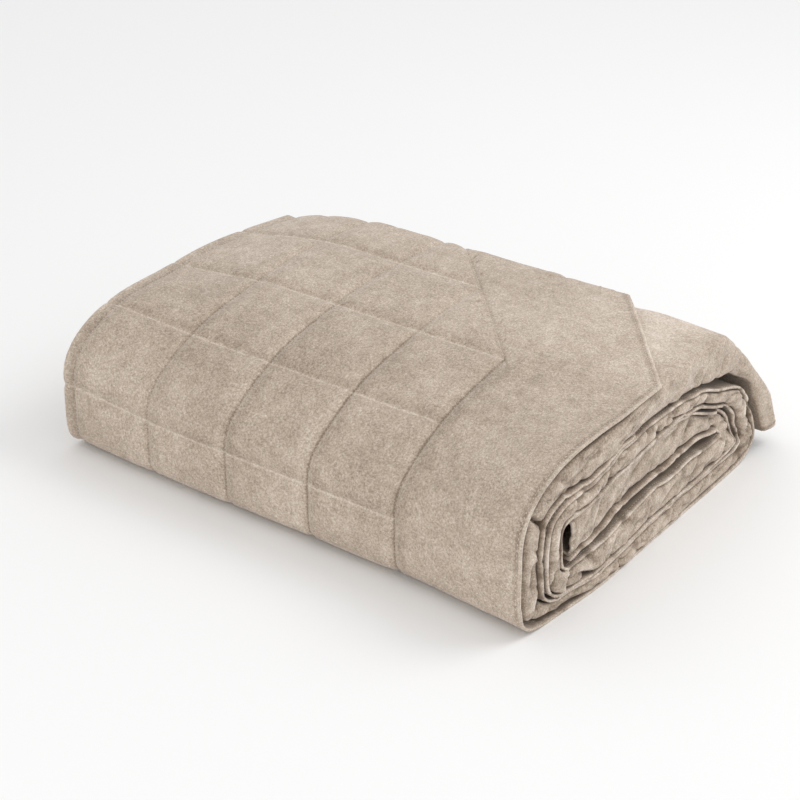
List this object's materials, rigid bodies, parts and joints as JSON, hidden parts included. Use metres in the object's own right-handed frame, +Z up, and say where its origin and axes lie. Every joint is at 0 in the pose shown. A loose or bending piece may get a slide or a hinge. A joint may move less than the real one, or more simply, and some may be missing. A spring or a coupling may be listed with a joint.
{
  "type": "folded quilt",
  "caption": "Thin beige quilted bedspread with cut corners, folded in four across its width and rolled flat.",
  "frame": {"origin": "centre of the bounding box, at the surface that the folded quilt rests on", "axes": "+X along the folded length, towards the end with the free hems; +Y from the near long side to the back; +Z up"},
  "size_m": [0.6222, 0.5072, 0.1876],
  "materials": {
    "quilted_cloth": "brushed"
  },
  "bodies": {
    "root": {"quilt": "quilted_cloth"}
  },
  "joints": []
}
